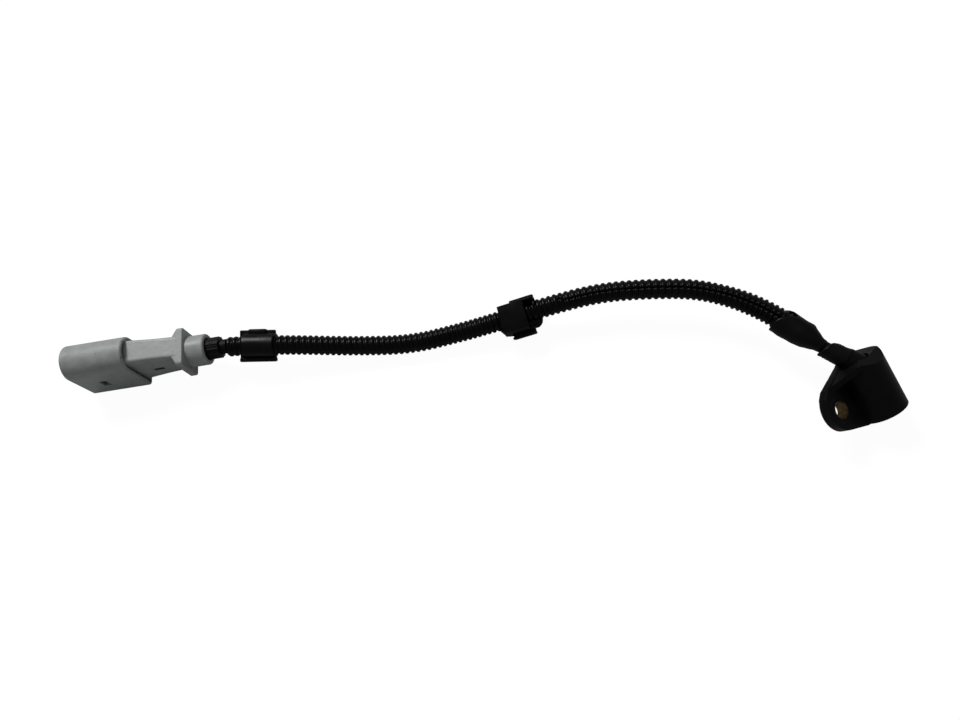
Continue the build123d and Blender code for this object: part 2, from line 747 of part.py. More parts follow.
print("lead", round(LEAD.length, 1), "mm, bend radii", [round(radius) for radius in route_radii()])
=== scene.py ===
import bisect
import math

import bmesh
import bpy
from mathutils import Euler, Matrix, Vector


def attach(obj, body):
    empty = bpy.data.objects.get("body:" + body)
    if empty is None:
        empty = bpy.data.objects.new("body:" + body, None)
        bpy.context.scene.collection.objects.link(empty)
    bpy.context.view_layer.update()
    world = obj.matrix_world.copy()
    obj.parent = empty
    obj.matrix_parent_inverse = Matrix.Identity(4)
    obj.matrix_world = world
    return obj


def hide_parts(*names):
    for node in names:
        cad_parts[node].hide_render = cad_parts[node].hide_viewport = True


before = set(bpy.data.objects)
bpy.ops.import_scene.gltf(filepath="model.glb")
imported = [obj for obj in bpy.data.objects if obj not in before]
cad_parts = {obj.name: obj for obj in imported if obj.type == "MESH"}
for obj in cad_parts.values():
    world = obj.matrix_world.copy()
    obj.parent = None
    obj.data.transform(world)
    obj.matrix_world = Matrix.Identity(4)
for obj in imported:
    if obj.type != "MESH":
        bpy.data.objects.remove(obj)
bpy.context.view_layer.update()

# Camshaft position sensor on a pale table. Sizes are written in mm, and MM or metres() turns them into
# metres. +Z is up from the table, +X runs along the plug from its mouth to its wires, and the origin is
# under the middle of the sensor head.

MM = 0.001
TINY = 1e-6


def metres(*place):
    return Vector(place) * MM


# Camera, above the middle of the lead and tipped towards the far side

camera_data = bpy.data.cameras.new("camera")
camera_data.sensor_width = 36
camera_data.lens = 27
camera_data.clip_start = 0.01
camera_data.clip_end = 10
camera = bpy.data.objects.new("camera", camera_data)
camera.location = metres(-122.046, -63.673, 271.474)
camera.rotation_euler = [math.radians(turn) for turn in (19.92066, 5.3191, -7.6)]
bpy.context.scene.collection.objects.link(camera)
bpy.context.scene.camera = camera

# Lead: its route, from inside the plug to inside the head, in mm

ROUTE = [
    (-246.8, 56.30, 11.2),
    (-233.5, 56.30, 11.2),
    (-208.3, 52.98, 10.2),
    (-183.7, 49.85, 5.9),
    (-160.7, 47.15, 4.2),
    (-139.7, 48.79, 4.8),
    (-127.2, 49.36, 7.4),
    (-104.3, 51.34, 11.1),
    (-84.8, 52.76, 12.9),
    (-65.7, 50.58, 14.3),
    (-44.7, 46.18, 15.5),
    (-25.2, 34.20, 16.5),
    (-9.2, 14.84, 16.6),
    (3.6, 5.60, 15.2),
]
CABLE_R = 2.4 * MM
CONDUIT_R = 3.98 * MM
CONDUIT_DEPTH = 0.62 * MM
CONDUIT_WALL = 0.45 * MM


def route_curve(name, points, depth=0.0):
    """A smooth curve that has the points of a route as its control points."""
    curve = bpy.data.curves.new(name, "CURVE")
    curve.dimensions = "3D"
    curve.resolution_u = 24
    curve.bevel_depth = depth
    curve.bevel_resolution = 6
    curve.use_fill_caps = depth > 0
    spline = curve.splines.new("NURBS")
    spline.points.add(len(points) - 1)
    for point, place in zip(spline.points, points):
        point.co = (*metres(*place), 1)
    spline.order_u = 3
    spline.use_endpoint_u = True
    return bpy.data.objects.new(name, curve)


class Lead:
    """The lead's centreline, measured in metres from its end inside the plug."""

    def __init__(self, points):
        bare = route_curve("lead_route", points)
        mesh = bpy.data.meshes.new_from_object(bare)
        self.line = [vertex.co.copy() for vertex in mesh.vertices]
        bpy.data.objects.remove(bare)
        self.along = [0.0]
        for before, after in zip(self.line, self.line[1:]):
            self.along.append(self.along[-1] + (after - before).length)
        self.length = self.along[-1]

    def point(self, s):
        """The point at a place along the lead."""
        i = min(max(bisect.bisect(self.along, s) - 1, 0), len(self.line) - 2)
        share = (s - self.along[i]) / (self.along[i + 1] - self.along[i])
        return self.line[i].lerp(self.line[i + 1], share)

    def frame(self, s):
        """Directions aside and up at a place along the lead."""
        forward = (self.point(s + MM) - self.point(s - MM)).normalized()
        aside = Vector((0, 0, 1)).cross(forward).normalized()
        return aside, forward.cross(aside)

    def lay(self, bm, shaped):
        """Bends a straight piece, made along +X with +Z up, onto the lead.

        A function first moves each of its points: it takes and gives (place along, aside, up)."""
        for vertex in bm.verts:
            s, y, z = shaped(*vertex.co)
            aside, up = self.frame(s)
            vertex.co = self.point(s) + aside * y + up * z

    def path(self, start, end, step=1.0 * MM):
        """Points along the lead from one place to another, at most a step apart."""
        count = math.ceil((end - start) / step)
        return [self.point(start + (end - start) * i / count) for i in range(count + 1)]


# HEAD_END is the lead's end inside the head, in mm along the lead

LEAD = Lead(ROUTE)
HEAD_END = LEAD.length / MM


def from_head(length):
    """A place along the lead, given in mm from its end inside the head."""
    return LEAD.length - length * MM


# Making of pieces


def lathe(profile, steps, turn=2 * math.pi, hollow=False):
    """Turns a profile of (place along X, radius) in mm round the X axis, outer side outwards.

    A hollow piece has a profile that comes back along its inner side and closes."""
    bm = bmesh.new()
    points = [bm.verts.new((x * MM, 0, radius * MM)) for x, radius in profile]
    ends = points[1:] + points[:1] if hollow else points[1:]
    edges = [bm.edges.new(pair) for pair in zip(points, ends)]
    whole = abs(turn - 2 * math.pi) < TINY
    bmesh.ops.spin(
        bm,
        geom=points + edges,
        cent=(0, 0, 0),
        axis=(1, 0, 0),
        angle=turn,
        steps=steps,
        use_merge=whole,
    )
    bmesh.ops.remove_doubles(bm, verts=bm.verts, dist=TINY)
    bmesh.ops.recalc_face_normals(bm, faces=bm.faces)
    outward = sum(face.normal.yz.dot(face.calc_center_median().yz) * face.calc_area() for face in bm.faces)
    if outward < 0:
        bmesh.ops.reverse_faces(bm, faces=bm.faces)
    return bm


def round_edges(bm, verts, edge):
    """Rounds every edge at some corners, by a width in mm."""
    edges = {e for vertex in verts for e in vertex.link_edges}
    bmesh.ops.bevel(
        bm,
        geom=list(edges),
        offset=edge * MM,
        offset_type="OFFSET",
        segments=2,
        profile=0.5,
        affect="EDGES",
        clamp_overlap=True,
        material=-1,
    )


def slab(bm, x, y, z, edge):
    """Adds a block between two limits in each direction, in mm, with rounded edges."""
    middle = metres(*[(low + high) / 2 for low, high in (x, y, z)])
    size = metres(*[high - low for low, high in (x, y, z)])
    place = Matrix.Translation(middle) @ Matrix.Diagonal((*size, 1))
    made = bmesh.ops.create_cube(bm, size=1, matrix=place)
    round_edges(bm, made["verts"], edge)


def plate(bm, outline, low, high, edge, turn=Matrix.Identity(4)):
    """Adds a plate with an outline of (x, y) between two heights, in mm, with rounded edges."""
    foot = bm.faces.new([bm.verts.new(metres(x, y, low)) for x, y in outline])
    grown = bmesh.ops.extrude_face_region(bm, geom=[foot])
    top = [part for part in grown["geom"] if isinstance(part, bmesh.types.BMVert)]
    bmesh.ops.translate(bm, vec=metres(0, 0, high - low), verts=top)
    verts = top + list(foot.verts)
    bmesh.ops.transform(bm, matrix=turn, verts=verts)
    faces = {face for vertex in verts for face in vertex.link_faces}
    bmesh.ops.recalc_face_normals(bm, faces=list(faces))
    round_edges(bm, verts, edge)


# Angles, in degrees, up to which soft pieces, crisp mouldings and turned pieces are shaded smooth

SOFT = 80
CRISP = 40
TURNED = 35


def piece(name, bm, material, smooth):
    """Makes a mesh into a named piece of the object, shaded smooth up to an angle."""
    mesh = bpy.data.meshes.new(name)
    bm.to_mesh(mesh)
    bm.free()
    made = bpy.data.objects.new(name, mesh)
    bpy.context.scene.collection.objects.link(made)
    mesh.shade_smooth()
    mesh.set_sharp_from_angle(angle=math.radians(smooth))
    mesh.materials.append(material)
    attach(made, "root")
    return made


# Materials


class Finish:
    """One surface finish: a shader with its patterns read from the object's own place."""

    def __init__(self, name, colour, roughness, **sockets):
        self.material = bpy.data.materials.new(name)
        self.material.use_nodes = True
        self.nodes = self.material.node_tree.nodes
        self.links = self.material.node_tree.links
        self.shader = self.nodes["Principled BSDF"]
        self.shader.inputs["Base Color"].default_value = (*colour, 1)
        self.shader.inputs["Roughness"].default_value = roughness
        for socket, value in sockets.items():
            self.shader.inputs[socket.replace("_", " ")].default_value = value
        self.place = self.nodes.new("ShaderNodeTexCoord").outputs["Object"]

    def grain(self, size, detail, stretch=(1, 1, 1)):
        """Noise whose grain is about size mm across."""
        mapping = self.nodes.new("ShaderNodeMapping")
        mapping.inputs["Scale"].default_value = stretch
        self.links.new(self.place, mapping.inputs["Vector"])
        noise = self.nodes.new("ShaderNodeTexNoise")
        noise.inputs["Scale"].default_value = 1 / (size * MM)
        noise.inputs["Detail"].default_value = detail
        self.links.new(mapping.outputs["Vector"], noise.inputs["Vector"])
        return noise.outputs["Fac"]

    def worked(self, kind, first, second):
        """A number worked out from a pattern and either another pattern or a plain number."""
        sums = self.nodes.new("ShaderNodeMath")
        sums.operation = kind
        self.links.new(first, sums.inputs[0])
        if isinstance(second, float):
            sums.inputs[1].default_value = second
        else:
            self.links.new(second, sums.inputs[1])
        return sums.outputs[0]

    def colours(self, value, low, high):
        """A pattern turned into colours between two stops, each (value of the pattern, colour)."""
        ramp = self.nodes.new("ShaderNodeValToRGB")
        for element, (place, colour) in zip(ramp.color_ramp.elements, (low, high)):
            element.position = place
            element.color = (*colour, 1)
        self.links.new(value, ramp.inputs["Fac"])
        return ramp.outputs["Color"]

    def mixed(self, first, second, share, kind):
        """Two colours put together, by adding or multiplying, with a share of the second."""
        mix = self.nodes.new("ShaderNodeMix")
        mix.data_type = "RGBA"
        mix.blend_type = kind
        self.links.new(first, mix.inputs["A"])
        self.links.new(second, mix.inputs["B"])
        mix.inputs["Factor"].default_value = share
        return mix.outputs["Result"]

    def colour_from(self, output):
        self.links.new(output, self.shader.inputs["Base Color"])

    def roughness_from(self, value, smooth, rough):
        """Lets a pattern's middle values, from 0.3 to 0.7, set the roughness between two limits."""
        spread = self.nodes.new("ShaderNodeMapRange")
        self.links.new(value, spread.inputs["Value"])
        limits = {"From Min": 0.3, "From Max": 0.7, "To Min": smooth, "To Max": rough}
        for socket, number in limits.items():
            spread.inputs[socket].default_value = number
        self.links.new(spread.outputs["Result"], self.shader.inputs["Roughness"])

    def bumps(self, *patterns):
        """Adds bumps from patterns, each (pattern, height in mm)."""
        normal = None
        for value, height in patterns:
            bump = self.nodes.new("ShaderNodeBump")
            bump.inputs["Distance"].default_value = height * MM
            self.links.new(value, bump.inputs["Height"])
            if normal:
                self.links.new(normal, bump.inputs["Normal"])
            normal = bump.outputs["Normal"]
        self.links.new(normal, self.shader.inputs["Normal"])
        return self


def toned(tint, share):
    """A tint made darker or lighter by a share."""
    return [share * part for part in tint]


def black_moulding(name, tint, rough, grain, specular):
    """Black moulded plastic: fine texture, faint haze and a little dust."""
    finish = Finish(name, tint, rough, Specular_IOR_Level=specular)
    haze = finish.grain(6.0, detail=4.0)
    fine = finish.grain(grain, detail=2.0)
    dust = finish.grain(0.7, detail=6.0)
    dark = finish.colours(haze, (0.35, toned(tint, 0.75)), (0.7, toned(tint, 1.35)))
    pale = finish.colours(dust, (0.66, (0, 0, 0)), (0.8, (0.006, 0.006, 0.0055)))
    finish.colour_from(finish.mixed(dark, pale, 0.5, "ADD"))
    finish.roughness_from(haze, rough - 0.06, rough + 0.08)
    return finish.bumps((fine, 0.03), (haze, 0.12)).material


def soft_rubber(name, tint, rough):
    """Matt rubber or soft plastic: a waxy bloom and fine pores."""
    finish = Finish(name, tint, rough, Specular_IOR_Level=0.14)
    bloom = finish.grain(3.0, detail=5.0)
    finish.colour_from(finish.colours(bloom, (0.4, toned(tint, 0.7)), (0.75, toned(tint, 1.6))))
    finish.roughness_from(bloom, rough - 0.08, rough + 0.08)
    pores = finish.grain(0.25, detail=2.0)
    return finish.bumps((pores, 0.03), (bloom, 0.1)).material


def turned_brass(name):
    """Tarnished brass with fine turning rings."""
    finish = Finish(name, (0.3, 0.2, 0.09), 0.35, Metallic=1.0)
    tarnish = finish.grain(1.6, detail=5.0)
    finish.colour_from(finish.colours(tarnish, (0.35, (0.07, 0.045, 0.02)), (0.65, (0.21, 0.145, 0.065))))
    finish.roughness_from(tarnish, 0.28, 0.5)
    rings = finish.grain(0.5, detail=2.0, stretch=(1.0, 1.0, 4.0))
    return finish.bumps((rings, 0.03)).material


def plain_metal(name, colour, rough):
    """Stamped or plated metal with fine rolling marks."""
    finish = Finish(name, colour, rough, Metallic=1.0)
    marks = finish.grain(0.4, detail=3.0, stretch=(0.15, 1.0, 1.0))
    finish.colour_from(finish.colours(marks, (0.3, toned(colour, 0.7)), (0.7, colour)))
    finish.roughness_from(marks, rough - 0.08, rough + 0.1)
    return finish.bumps((marks, 0.01)).material


# The middle of the plug's mouth, in mm

PLUG_AT = (-295.3, 56.30, 11.2)


def inside(finish, low, high):
    """One at places between two corners, in mm from the middle of the plug's mouth, otherwise nought."""
    axes = finish.nodes.new("ShaderNodeSeparateXYZ")
    finish.links.new(finish.place, axes.inputs[0])
    share = None
    for axis, middle, start, end in zip(axes.outputs, PLUG_AT, low, high):
        for kind, limit in (("GREATER_THAN", start), ("LESS_THAN", end)):
            test = finish.worked(kind, axis, (middle + limit) * MM)
            share = test if share is None else finish.worked("MULTIPLY", share, test)
    return share


def grey_moulding(name, light, shade, hollows=()):
    """Light grey moulded plastic: mottled, lightly stained and scuffed, with small dark specks and painted
    shade in hollows.
    """
    finish = Finish(name, light, 0.42, Specular_IOR_Level=0.4)
    mottle = finish.grain(5.0, detail=5.0)
    fine = finish.grain(0.22, detail=2.0)
    specks = finish.grain(0.9, detail=2.0)
    base = finish.colours(mottle, (0.3, shade), (0.62, light))
    marks = finish.colours(specks, (0.25, (0.55, 0.52, 0.47)), (0.33, (1, 1, 1)))
    colour = finish.mixed(base, marks, 1.0, "MULTIPLY")
    # Painted shade: inside each given hollow the grey is darkened to 0.12 of its tone
    for low, high in hollows:
        painted_shade = finish.colours(inside(finish, low, high), (0.0, (1, 1, 1)), (1.0, (0.12, 0.12, 0.12)))
        colour = finish.mixed(colour, painted_shade, 1.0, "MULTIPLY")
    finish.colour_from(colour)
    finish.roughness_from(mottle, 0.34, 0.52)
    return finish.bumps((fine, 0.02), (mottle, 0.15)).material


# Hollows of the plug with painted shade, each with its two corners in mm from the middle of the plug's
# mouth

HOOD_INSIDE = [((0.4, -6.1, -10.2), (18.2, 6.1, 6.8)), ((0.4, -4.6, 6.7), (18.2, 4.6, 11.2))]
LOCK_SLOT = [((30.7, -4.4, -2.3), (35.3, 4.4, -0.1))]
GROOVE = [
    ((21.6, -6.1, -10.1), (24.75, -5.0, 7.5)),
    ((21.6, -5.6, 7.5), (24.75, -4.96, 9.8)),
    ((21.6, -3.6, 10.75), (24.75, 3.6, 12.75)),
]
PLUG_SHADED_HOLLOWS = HOOD_INSIDE + LOCK_SLOT + GROOVE

head_black = black_moulding(
    "head_black_plastic", (0.0018, 0.0018, 0.0024), rough=0.42, grain=0.3, specular=0.12
)
conduit_black = black_moulding(
    "conduit_black_plastic", (0.001, 0.001, 0.0014), rough=0.26, grain=0.2, specular=0.14
)
sleeve_black = black_moulding(
    "sleeve_black_vinyl", (0.0016, 0.0016, 0.002), rough=0.42, grain=0.4, specular=0.14
)
clip_black = black_moulding(
    "clip_black_nylon", (0.002, 0.002, 0.0026), rough=0.36, grain=0.25, specular=0.14
)
grommet_rubber = soft_rubber("grommet_rubber", (0.003, 0.003, 0.003), rough=0.42)
jacket_rubber = soft_rubber("cable_jacket", (0.003, 0.003, 0.003), rough=0.5)
boot_rubber = soft_rubber("boot_rubber", (0.0022, 0.0022, 0.0022), rough=0.5)
seal_rubber = soft_rubber("seal_rubber", (0.25, 0.07, 0.03), rough=0.5)
plug_grey = grey_moulding("plug_grey_plastic", (0.33, 0.345, 0.342), (0.27, 0.285, 0.285), PLUG_SHADED_HOLLOWS)
lock_grey = grey_moulding("lock_grey_plastic", (0.05, 0.05, 0.048), (0.03, 0.03, 0.03))
bush_brass = turned_brass("bush_brass")
strip_bronze = plain_metal("lead_frame_bronze", (0.55, 0.36, 0.2), rough=0.3)
pin_tin = plain_metal("pin_tin", (0.6, 0.6, 0.58), rough=0.32)
magnet_metal = plain_metal("magnet_nickel", (0.5, 0.48, 0.45), rough=0.25)
CORE_COLOURS = {"brown": (0.09, 0.035, 0.015), "black": (0.01, 0.01, 0.01), "white": (0.5, 0.5, 0.47)}
core_skins = [soft_rubber(f"core_skin_{colour}", tint, rough=0.45) for colour, tint in CORE_COLOURS.items()]

# CAD pieces that keep their shape

KEPT = {
    "sensor_housing": head_black,
    "chip_carrier": head_black,
    "hall_chip": head_black,
    "bias_magnet": magnet_metal,
    "plug_housing": plug_grey,
    "terminal_lock": lock_grey,
    "wire_seal": seal_rubber,
    "seal_boot": boot_rubber,
}
for number in (1, 2, 3):
    KEPT[f"head_terminal_{number}"] = strip_bronze
    KEPT[f"blade_pin_{number}"] = pin_tin
    KEPT[f"core_{number}"] = core_skins[number - 1]
    KEPT[f"head_core_{number}"] = core_skins[number - 1]
for node, material in KEPT.items():
    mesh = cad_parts[node].data
    mesh.materials.clear()
    mesh.materials.append(material)

# Cable: one smooth curve from the plug to the head

cable = route_curve("cable", ROUTE, CABLE_R)
bpy.context.scene.collection.objects.link(cable)
cable.data.materials.append(jacket_rubber)
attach(cable, "root")
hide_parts("lead_cable")

# Conduit: a ridged tube, split along one side, whose ridges lie closer where it is pushed together

# Its places are in mm from the lead's end inside the plug, but those of the swell are from the head's end

CONDUIT_START = 13.6
CONDUIT_END = HEAD_END - 24.5
CONDUIT_STEPS = 30
LAST_RIDGE = 1.2
RIDGE_PITCH = [(14, 2.3), (79, 2.26), (113, 2.02), (153, 2.37), (186, 2.54), (210, 2.11), (245, 1.9)]
RIDGE_FLANK = [(0.36, 0.86), (0.26, 0.3), (0.14, 0.04)]
RIDGE_SHAPE = [(-0.5, 1.0)] + [(-share, drop) for share, drop in RIDGE_FLANK]
RIDGE_SHAPE += [(0.0, 0.0)] + RIDGE_FLANK[::-1]
SLIT_BELOW = 138.0
SLIT_ABOVE = 152.0
SLIT_TURN_BELOW = math.radians(-165)
SLIT_TURN_ABOVE = math.radians(14)
SLIT_GAP = math.radians(7)
SWELL_START = -60.0
SWELL_END = -45.0
SWELL = 0.06


def share_between(place, start, end):
    """How far a place is from a start to an end: 0 up to the start and 1 past the end."""
    return min(max((place - start) / (end - start), 0), 1)


def blend_between(table, place):
    """Reads a table of (place, value) at a place, with straight blends between its rows."""
    for (x0, y0), (x1, y1) in zip(table, table[1:]):
        if place <= x1:
            return y0 + (y1 - y0) * max(place - x0, 0) / (x1 - x0)
    return table[-1][1]


def conduit_profile():
    """The tube's outline, ridge by ridge. A ridge has rows of (share of its pitch, share of its depth)."""
    profile = []
    place = CONDUIT_START
    while place < CONDUIT_END - LAST_RIDGE:
        pitch = blend_between(RIDGE_PITCH, place)
        for share, drop in RIDGE_SHAPE:
            profile.append((place + (share + 0.5) * pitch, (CONDUIT_R - drop * CONDUIT_DEPTH) / MM))
        place += pitch
    return profile


def twist_slit(s, y, z):
    """Turns the tube so that its slit is underneath near the plug and on top past the second clip.

    Towards the sleeve, where its ridges are pushed together, the tube is a little wider."""
    share = share_between(s / MM, SLIT_BELOW, SLIT_ABOVE)
    share = share * share * (3 - 2 * share)
    turn = SLIT_TURN_BELOW + (SLIT_TURN_ABOVE - SLIT_TURN_BELOW) * share
    y, z = y * math.cos(turn) - z * math.sin(turn), y * math.sin(turn) + z * math.cos(turn)
    pushed = share_between(s / MM - HEAD_END, SWELL_START, SWELL_END)
    return s, y * (1 + SWELL * pushed), z


tube = lathe(conduit_profile(), CONDUIT_STEPS, 2 * math.pi - SLIT_GAP)
bmesh.ops.rotate(tube, verts=tube.verts, cent=(0, 0, 0), matrix=Matrix.Rotation(SLIT_GAP / 2, 3, "X"))
LEAD.lay(tube, twist_slit)
conduit = piece("conduit_tube", tube, conduit_black, SOFT)
wall = conduit.modifiers.new("wall", "SOLIDIFY")
wall.thickness = CONDUIT_WALL
wall.offset = -1
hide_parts("conduit")

# Sleeve: a soft wrap that closes the conduit, open at its mouth in a notch that shows the last ridges

# Its places are in mm from the lead's end inside the head, and its tables give the half width on the far
# and the near side, and the half height

SLEEVE_MOUTH = -35.4
SLEEVE_TAIL = -16.4
SLEEVE_R = 5.0
SLEEVE_BORE = 4.4
SLEEVE_STEPS = 44
SLEEVE_RINGS = 18
SLEEVE_FIRST_RING = 0.8
MOUTH_LIP = [(0.1, SLEEVE_R - 0.3), (0.3, SLEEVE_R - 0.1)]
TAIL_LIP = [(0.0, SLEEVE_R - 0.1), (0.2, SLEEVE_R - 0.3), (0.0, SLEEVE_BORE)]
NOTCH = 5.6
NOTCH_TURN = math.radians(38)
NOTCH_WIDTH = math.radians(70)
NOTCH_SHARPNESS = 2.5
FOLDS = 3
FOLD_TURN = 0.8
FOLD_HEIGHT = 0.03
FOLDS_END = SLEEVE_MOUTH + 12.0
SLEEVE_FAR = [
    (-36.0, 4.85), (-34.0, 4.9), (-32.0, 5.12), (-30.0, 5.0), (-26.0, 5.0), (-23.2, 5.35), (-22.2, 5.0),
    (-21.2, 4.1), (-20.0, 3.85), (-19.0, 3.3), (-18.0, 2.6), (-16.0, 2.5),
]
SLEEVE_NEAR = [
    (-36.0, 5.65), (-33.2, 5.4), (-32.0, 5.7), (-30.0, 5.55), (-28.0, 5.15), (-26.0, 5.05), (-24.0, 4.5),
    (-23.0, 4.45), (-22.0, 4.0), (-21.0, 3.5), (-19.9, 3.3), (-19.0, 2.8), (-18.0, 2.55), (-16.0, 2.5),
]
SLEEVE_TOP = [(-36.0, 4.85), (-23.5, 4.8), (-21.8, 4.5), (-19.8, 3.8), (-18.0, 3.05), (-16.0, 2.8)]


def sleeve_profile():
    """The sleeve as a straight tube: the mouth's lip, the outer side, the tail's lip and the bore."""
    outer = [(SLEEVE_MOUTH + SLEEVE_FIRST_RING + step, SLEEVE_R) for step in range(SLEEVE_RINGS)]
    inner = [(place, SLEEVE_BORE) for place, _ in reversed(outer)]
    mouth = [(SLEEVE_MOUTH + step, radius) for step, radius in MOUTH_LIP]
    tail = [(SLEEVE_TAIL + step, radius) for step, radius in TAIL_LIP]
    return [(HEAD_END + place, radius) for place, radius in mouth + outer + tail + inner]


def open_notch(s, y, z):
    """Draws the sleeve's mouth back where it is cut, and gives it uneven sides and some soft folds."""
    turn = math.atan2(y, z)
    place = s / MM - HEAD_END
    reach = share_between(place, SLEEVE_MOUTH, FOLDS_END)
    away = (turn - NOTCH_TURN) / NOTCH_WIDTH
    back = NOTCH * MM * math.exp(-away * away * NOTCH_SHARPNESS) * (1 - reach)
    wave = math.sin(FOLDS * turn + FOLD_TURN) * math.sin(math.pi * reach) * math.cos(turn) ** 2
    fold = 1 + FOLD_HEIGHT * wave
    widths = SLEEVE_FAR if y > 0 else SLEEVE_NEAR
    side = blend_between(widths, place + back / MM) / SLEEVE_R
    top = blend_between(SLEEVE_TOP, place + back / MM) / SLEEVE_R
    return s + back, y * side * fold, z * top * fold


wrap = lathe(sleeve_profile(), SLEEVE_STEPS, hollow=True)
LEAD.lay(wrap, open_notch)
sleeve = piece("wrapped_sleeve", wrap, sleeve_black, SOFT)
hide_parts("conduit_sleeve")

# Grommet: a soft neck with shallow bellows and a slanted bead at its outer end

# Its places are measured as the sleeve's are, and NECK_FAR gives how much wider than round its far side is

NECK_STEPS = 36
NECK_R = 3.5
NECK_SLANT = 1.2
SLANT_START = -10.0
SLANT_FULL = -14.0
NECK_FAR = [
    (-15.4, 0.74), (-14.4, 0.92), (-13.4, 1.06), (-12.0, 1.1), (-9.0, 1.1), (-8.0, 1.17), (-7.0, 1.28),
    (-6.0, 1.36), (-4.5, 1.2), (-3.0, 0.95),
]
NECK_RIM = [(-15.2, 2.45), (-15.5, 3.0), (-15.3, 3.5), (-14.8, 3.68), (-14.3, 3.6)]
NECK_BELLOWS = [(-13.9, 3.46), (-13.4, 3.6), (-12.9, 3.46), (-12.4, 3.6), (-11.9, 3.48)]
NECK_TUBE = [(-11.3, 3.56), (-10.3, 3.56), (-9.3, 3.56), (-8.3, 3.56), (-7.3, 3.5), (-6.3, 3.4)]
NECK_TAIL = [(-5.3, 3.3), (-4.3, 3.2), (-3.0, 3.1), (-1.6, 3.0), (-1.6, 2.45)]
NECK = [(HEAD_END + place, radius) for place, radius in NECK_RIM + NECK_BELLOWS + NECK_TUBE + NECK_TAIL]


def slant_neck(s, y, z):
    """Slants the neck's outer rim towards the near side, and widens its far side where the head starts."""
    place = s / MM - HEAD_END
    fade = share_between(place, SLANT_START, SLANT_FULL)
    wide = blend_between(NECK_FAR, place) if y > 0 else 1.0
    return s + NECK_SLANT * y / NECK_R * fade, y * wide, z


neck = lathe(NECK, NECK_STEPS, hollow=True)
LEAD.lay(neck, slant_neck)
grommet = piece("cable_neck", neck, grommet_rubber, SOFT)
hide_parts("cable_grommet")

# The head's own directions: X and Y lie in the ear's front face, Z points out of it at the bore's middle

HEAD_AT = metres(-9.26, -7.94, 15.45)
HEAD_TURN = Euler([math.radians(turn) for turn in (23, 20, 33.5)], "XYZ")
HEAD = Matrix.Translation(HEAD_AT) @ HEAD_TURN.to_matrix().to_4x4()
BORE = HEAD @ Matrix.Rotation(math.radians(-90), 4, "Y")

# Web between the neck and the ear, part of the head's moulding

WEB_BACK = -3.25
WEB_FRONT = -0.05
WEB = [
    (13.3, 11.9), (12.0, 11.45), (7.95, 10.45), (2.96, 9.35), (-1.13, 8.4), (-3.76, 6.65), (-5.5, 4.05),
    (-5.0, 3.2), (-2.5, 5.2), (3.0, 6.0), (8.0, 7.0), (16.0, 8.0), (16.4, 10.5),
]
web = bmesh.new()
plate(web, WEB, WEB_BACK, WEB_FRONT, 0.2)
bmesh.ops.transform(web, matrix=HEAD, verts=web.verts)
piece("neck_web", web, head_black, CRISP)

# Bush: a turned ring with bevelled ends, and the moulding that covers its front

BUSH_STEPS = 64
BUSH_OUTSIDE = [(-4.18, 4.7), (-3.98, 4.88), (-0.35, 4.88), (-0.2, 4.6)]
BUSH_LIP = [(-0.2, 3.4), (0.05, 3.3), (0.15, 3.1), (-4.18, 3.1)]
BUSH_COVER = [(-0.4, 4.95), (0.02, 4.95), (0.15, 4.8), (0.18, 4.2), (0.15, 3.5), (0.02, 3.35), (-0.4, 3.35)]
ring = lathe(BUSH_OUTSIDE + BUSH_LIP, BUSH_STEPS, hollow=True)
bmesh.ops.transform(ring, matrix=BORE, verts=ring.verts)
bush = piece("turned_bush", ring, bush_brass, TURNED)
cover = lathe(BUSH_COVER, BUSH_STEPS, hollow=True)
bmesh.ops.transform(cover, matrix=BORE, verts=cover.verts)
piece("bush_cover", cover, head_black, TURNED)
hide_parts("mounting_bush")

# Clips: X runs along the lead, Y across the clip towards the far side, and Z out of the clip's face. ALONG
# stands a plate up, so that its outline lies in Y and Z and its thickness along X.

CLIP_ROLL = math.radians(20)
WINGED_RUN = 1
EDGE_RUN = 6
CLIP_BORE = 4.05
CLIP_STEPS = 44
ALONG = Matrix(((0, 0, 1, 0), (1, 0, 0, 0), (0, 1, 0, 0), (0, 0, 0, 1)))


def clip_place(run):
    """The middle of a run of the lead, with the directions of the clip on it."""
    start, end = metres(*ROUTE[run]), metres(*ROUTE[run + 1])
    forward = (end - start).normalized()
    side = Vector((0, 0, 1)).cross(forward).normalized()
    across = side * math.cos(CLIP_ROLL) + forward.cross(side) * math.sin(CLIP_ROLL)
    place = Matrix((forward, across, forward.cross(across))).transposed().to_4x4()
    place.translation = (start + end) / 2
    return place


# Winged clip: a band round the tube, a wing on each side, a rail on the near one and a hump on the far one.
# Each block has its limits in X, Y and Z, and the width of its rounded edges.

BAND = [(-5.8, 4.6), (-5.4, 5.0), (6.7, 5.0), (7.1, 4.6), (7.1, CLIP_BORE), (-5.8, CLIP_BORE)]
WINGED_BLOCKS = {
    "far wing": ((-7.5, 7.1), (3.2, 6.15), (-0.8, 0.8), 0.5),
    "near wing": ((-7.4, 7.3), (-6.65, -3.2), (-0.8, 0.8), 0.5),
    "near rail": ((-7.3, 7.25), (-6.6, -4.9), (-1.7, 1.7), 0.5),
    "far hump": ((-3.9, 3.7), (4.2, 6.55), (-1.2, 1.8), 0.8),
}
winged = lathe(BAND, CLIP_STEPS, hollow=True)
for block in WINGED_BLOCKS.values():
    slab(winged, *block)
bmesh.ops.transform(winged, matrix=clip_place(WINGED_RUN), verts=winged.verts)
winged_clip = piece("winged_clip", winged, clip_black, CRISP)
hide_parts("lead_clip_1")

# Edge clip: a channel with a short cover, and beside it a lip that clamps a sheet edge

